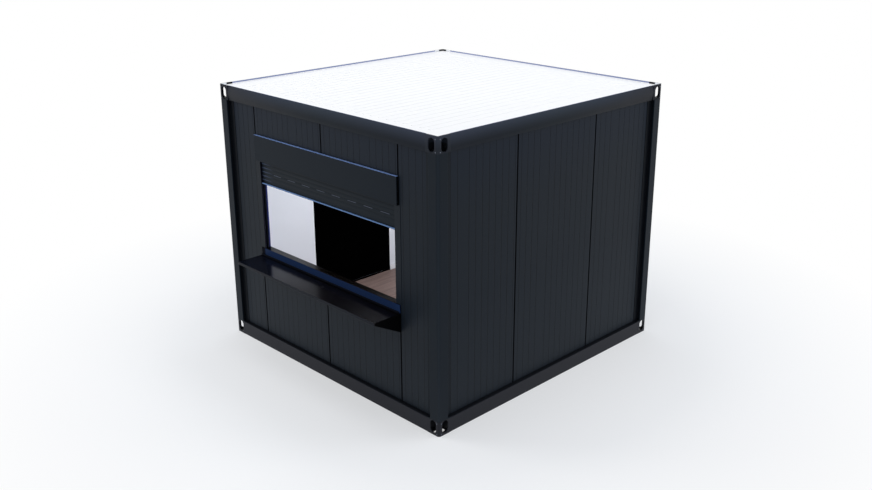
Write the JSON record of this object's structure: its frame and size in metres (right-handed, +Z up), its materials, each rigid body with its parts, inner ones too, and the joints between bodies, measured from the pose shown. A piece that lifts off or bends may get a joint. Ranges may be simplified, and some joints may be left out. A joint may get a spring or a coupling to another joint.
{
  "type": "sales container",
  "caption": "Small cubic sales cabin in container form with a steel corner-post frame, a serving hatch under a roller shutter, a fold-out style counter shelf and a side door.",
  "frame": {"origin": "centre of the frame's footprint on the ground", "axes": "+X towards the plain right wall, -Y towards the serving hatch, +Z up"},
  "size_m": [3.012, 3.25, 2.59],
  "materials": {
    "frame_steel": "satin",
    "wall_panel": "satin",
    "ceiling_white": "satin",
    "roof_white": "satin",
    "raw_steel": "satin",
    "floor_wood": "satin",
    "seal_rubber": "matte",
    "counter_black": "gloss",
    "shutter_steel": "satin",
    "door_steel": "satin",
    "handle_steel": "satin"
  },
  "bodies": {
    "root": {"corner_post_front_left": "frame_steel", "corner_post_front_right": "frame_steel", "corner_post_back_left": "frame_steel", "corner_post_back_right": "frame_steel", "bottom_castings": "frame_steel", "top_castings": "frame_steel", "bottom_rail_front": "frame_steel", "bottom_rail_back": "frame_steel", "bottom_rail_left": "frame_steel", "bottom_rail_right": "frame_steel", "top_rail_front": "frame_steel", "top_rail_back": "frame_steel", "top_rail_left": "frame_steel", "top_rail_right": "frame_steel", "front_panel_left": "wall_panel", "front_panel_right": "wall_panel", "front_panel_lower_left": "wall_panel", "front_panel_lower_right": "wall_panel", "front_panel_upper_left": "wall_panel", "front_panel_upper_right": "wall_panel", "back_panel_1": "wall_panel", "back_panel_2": "wall_panel", "back_panel_3": "wall_panel", "back_panel_4": "wall_panel", "right_panel_1": "wall_panel", "right_panel_2": "wall_panel", "right_panel_3": "wall_panel", "left_panel_1": "wall_panel", "left_panel_3": "wall_panel", "left_panel_over_door": "wall_panel", "ceiling_panel": "ceiling_white", "roof_tray": "roof_white", "floor_joists": "raw_steel", "floor_sheet": "raw_steel", "roof_purlins": "raw_steel", "shutter_roll": "raw_steel", "floor_deck": "floor_wood", "wall_seals": "seal_rubber", "counter_shelf": "counter_black", "shelf_brackets": "counter_black", "hatch_sill_cap": "counter_black", "shutter_box": "shutter_steel", "shutter_guides": "shutter_steel", "shutter_curtain": "shutter_steel", "shutter_bottom_bar": "shutter_steel", "door_frame": "door_steel", "frame_hinges": "door_steel"},
    "door": {"door_leaf": "door_steel", "leaf_hinges": "door_steel", "door_handles": "handle_steel"}
  },
  "joints": [
    {"name": "door_hinge", "type": "hinge", "parent": "root", "child": "door", "pos_m": [-1.472, 0.4775, 1.15], "axis": [0, 0, -1], "range_deg": [0, 100]}
  ]
}
